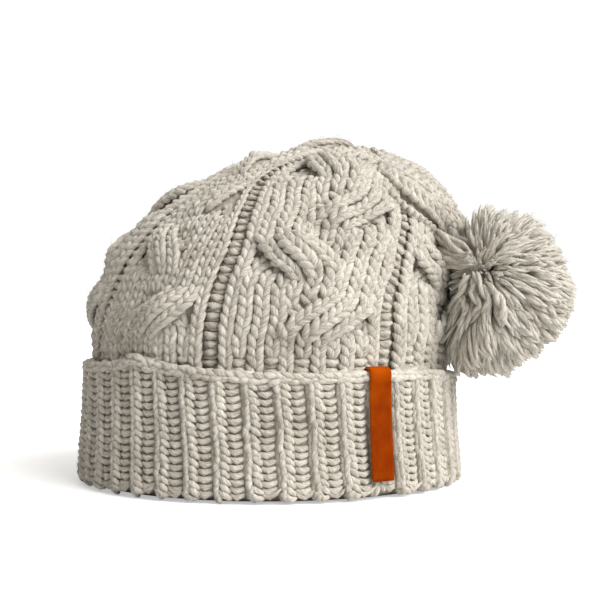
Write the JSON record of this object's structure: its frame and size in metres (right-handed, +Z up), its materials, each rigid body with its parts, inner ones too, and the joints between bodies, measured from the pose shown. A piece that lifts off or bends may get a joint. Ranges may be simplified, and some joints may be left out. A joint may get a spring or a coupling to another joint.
{
  "type": "knit hat",
  "caption": "Cable-knit bobble hat with a turned-up ribbed cuff, a bare leather tab over its edge and a yarn pompom tied to the fallen tip.",
  "frame": {"origin": "middle of the hat's box, on the surface that the cuff's fold stands on", "axes": "+Z up, +X towards the pompom, -Y towards the side with the leather tab"},
  "size_m": [0.2696, 0.2084, 0.1861],
  "materials": {
    "yarn": "chunky oatmeal wool yarn, soft and matt",
    "leather": "smooth orange-brown leather, low sheen"
  },
  "bodies": {
    "root": {"crown": "yarn", "cuff": "yarn", "leather_tab": "leather", "pompom": "yarn", "pompom_tie": "yarn"}
  },
  "joints": []
}
